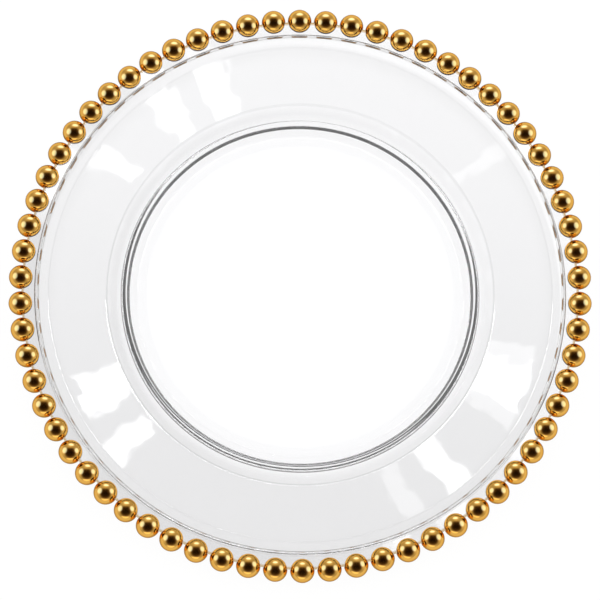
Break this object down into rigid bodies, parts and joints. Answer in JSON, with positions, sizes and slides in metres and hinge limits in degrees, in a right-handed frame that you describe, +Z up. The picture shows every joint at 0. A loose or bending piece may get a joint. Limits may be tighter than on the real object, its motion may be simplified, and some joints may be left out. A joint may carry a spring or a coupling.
{
  "type": "charger plate",
  "caption": "Round clear-glass charger plate: flat well, low steep wall, broad rim and a string of gold balls seated on the rim's edge.",
  "frame": {"origin": "on the table under the middle of the foot, at the bottom centre of the plate", "axes": "+Z up through the middle of the plate, square to the well floor; +X and +Y lie along the table, with the first ball a little round from +X"},
  "size_m": [0.3294, 0.3296, 0.0234],
  "materials": {
    "clear_glass": "fire-polished clear pressed glass",
    "gold_plate": "mirror-bright warm gold plating"
  },
  "bodies": {
    "root": {"glass_plate": "clear_glass", "ball_arc_01": "gold_plate", "ball_arc_02": "gold_plate", "ball_arc_03": "gold_plate", "ball_arc_04": "gold_plate", "ball_arc_05": "gold_plate", "ball_arc_06": "gold_plate", "ball_arc_07": "gold_plate", "ball_arc_08": "gold_plate", "ball_arc_09": "gold_plate", "ball_arc_10": "gold_plate", "ball_arc_11": "gold_plate", "ball_arc_12": "gold_plate", "ball_arc_13": "gold_plate", "ball_arc_14": "gold_plate", "ball_arc_15": "gold_plate", "ball_arc_16": "gold_plate", "ball_arc_17": "gold_plate", "ball_arc_18": "gold_plate", "ball_arc_19": "gold_plate", "ball_arc_20": "gold_plate", "ball_arc_21": "gold_plate", "ball_arc_22": "gold_plate"}
  },
  "joints": []
}
